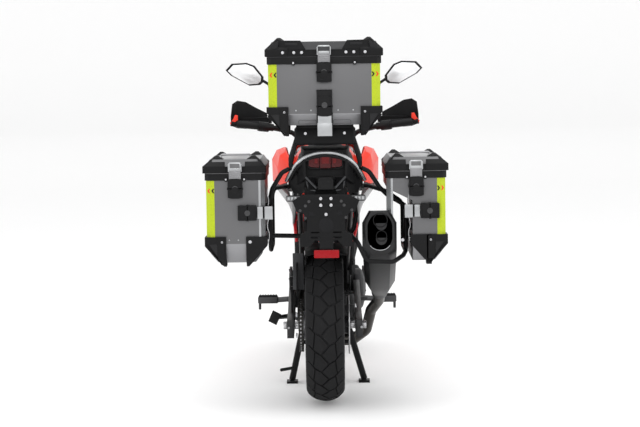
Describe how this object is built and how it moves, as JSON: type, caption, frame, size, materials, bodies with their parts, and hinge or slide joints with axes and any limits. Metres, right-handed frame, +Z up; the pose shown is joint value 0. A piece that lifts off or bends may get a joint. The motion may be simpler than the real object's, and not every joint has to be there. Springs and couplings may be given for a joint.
{
  "type": "adventure motorcycle",
  "caption": "Adventure touring motorcycle on its centre stand, with a parallel twin engine, spoked cast wheels, tubular frame and a top case and side cases.",
  "frame": {"origin": "on the floor, under the middle of the machine's length and width", "axes": "+X to the rider's right, +Y forwards, +Z up"},
  "size_m": [0.968, 2.1989, 1.493],
  "materials": {
    "tyre_rubber": "matt tread rubber",
    "wheel_silver": "satin black cast alloy",
    "disc_steel": "ground steel",
    "chain_steel": "oiled steel",
    "frame_red": "satin red",
    "swingarm_alloy": "satin black",
    "axle_steel": "bright steel",
    "caliper_black": "satin black",
    "shock_black": "satin black",
    "engine_alloy": "dark cast finish",
    "radiator_black": "black",
    "exhaust_steel": "brushed",
    "silencer_steel": "brushed",
    "tank_red": "gloss red",
    "seat_vinyl": "textured seat cover",
    "cowl_grey": "silver grey",
    "panel_black": "textured black",
    "cowl_white": "pale grey",
    "lamp_clear": "clear lens",
    "screen_clear": "clear",
    "bracket_black": "matt black",
    "lamp_red": "red lens",
    "lamp_amber": "amber lens",
    "peg_steel": "dark steel with rubber",
    "fork_black": "satin black",
    "yoke_alloy": "dark anodised",
    "bar_black": "matt black",
    "mirror_glass": "black housing",
    "rack_black": "powder coat black",
    "stand_black": "powder coat black",
    "case_grey": "mid grey powder coat",
    "armour_black": "moulded black",
    "fitting_black": "moulded black"
  },
  "bodies": {
    "chassis": {"main_frame": "frame_red", "subframe": "frame_red", "swingarm": "swingarm_alloy", "rear_shock": "shock_black", "rear_caliper": "caliper_black", "rear_axle": "axle_steel", "engine": "engine_alloy", "radiator": "radiator_black", "exhaust_headers": "exhaust_steel", "silencer": "silencer_steel", "fuel_tank": "tank_red", "seat": "seat_vinyl", "tank_shrouds": "tank_red", "lower_cowls": "cowl_grey", "side_covers": "panel_black", "airbox": "panel_black", "front_cowl": "cowl_white", "headlamp": "lamp_clear", "windscreen": "screen_clear", "tail_cowl": "panel_black", "chain_guard": "panel_black", "plate_bracket": "bracket_black", "rear_lamps": "lamp_red", "indicators": "lamp_amber", "footrests": "peg_steel", "rear_rack": "rack_black", "pannier_racks": "rack_black", "drive_chain": "chain_steel", "top_case_body": "case_grey", "left_case_body": "case_grey", "right_case_body": "case_grey", "case_armour": "armour_black", "case_fittings": "fitting_black"},
    "steering": {"fork_legs": "fork_black", "fork_yokes": "yoke_alloy", "front_calipers": "caliper_black", "front_axle": "axle_steel", "front_fender": "panel_black", "handlebar": "bar_black", "handlebar_controls": "bar_black", "handguards": "panel_black", "mirrors": "mirror_glass"},
    "front_wheel": {"front_tyre": "tyre_rubber", "front_rim": "wheel_silver", "front_discs": "disc_steel"},
    "rear_wheel": {"rear_tyre": "tyre_rubber", "rear_rim": "wheel_silver", "rear_disc": "disc_steel", "rear_sprocket": "chain_steel"},
    "centre_stand": {"centre_stand": "stand_black"},
    "side_stand": {"side_stand": "stand_black"},
    "top_lid": {"top_case_lid": "case_grey", "top_lid_armour": "armour_black"},
    "left_lid": {"left_case_lid": "case_grey", "left_lid_armour": "armour_black"},
    "right_lid": {"right_case_lid": "case_grey", "right_lid_armour": "armour_black"}
  },
  "joints": [
    {"name": "steering", "type": "hinge", "parent": "chassis", "child": "steering", "pos_m": [0, 0.40999, 0.9], "axis": [0, -0.4618, 0.887], "range_deg": [-35, 35]},
    {"name": "front_wheel_spin", "type": "hinge", "parent": "steering", "child": "front_wheel", "pos_m": [0, 0.7705, 0.329], "axis": [-1, 0, 0], "continuous": true},
    {"name": "rear_wheel_spin", "type": "hinge", "parent": "chassis", "child": "rear_wheel", "pos_m": [0, -0.6745, 0.324], "axis": [-1, 0, 0], "continuous": true},
    {"name": "centre_stand_pivot", "type": "hinge", "parent": "chassis", "child": "centre_stand", "pos_m": [0, -0.2045, 0.3], "axis": [-1, 0, 0], "range_deg": [0, 72]},
    {"name": "side_stand_pivot", "type": "hinge", "parent": "chassis", "child": "side_stand", "pos_m": [-0.15, 0.0675, 0.262], "axis": [0.8625, -0.3209, -0.3912], "range_deg": [0, 95]},
    {"name": "top_lid_hinge", "type": "hinge", "parent": "chassis", "child": "top_lid", "pos_m": [0, -0.6755, 1.42], "axis": [-1, 0, 0], "range_deg": [0, 90]},
    {"name": "left_lid_hinge", "type": "hinge", "parent": "chassis", "child": "left_lid", "pos_m": [-0.3565, -0.4805, 0.968], "axis": [-1, 0, 0], "range_deg": [0, 90]},
    {"name": "right_lid_hinge", "type": "hinge", "parent": "chassis", "child": "right_lid", "pos_m": [0.3565, -0.4805, 0.968], "axis": [-1, 0, 0], "range_deg": [0, 90]}
  ]
}
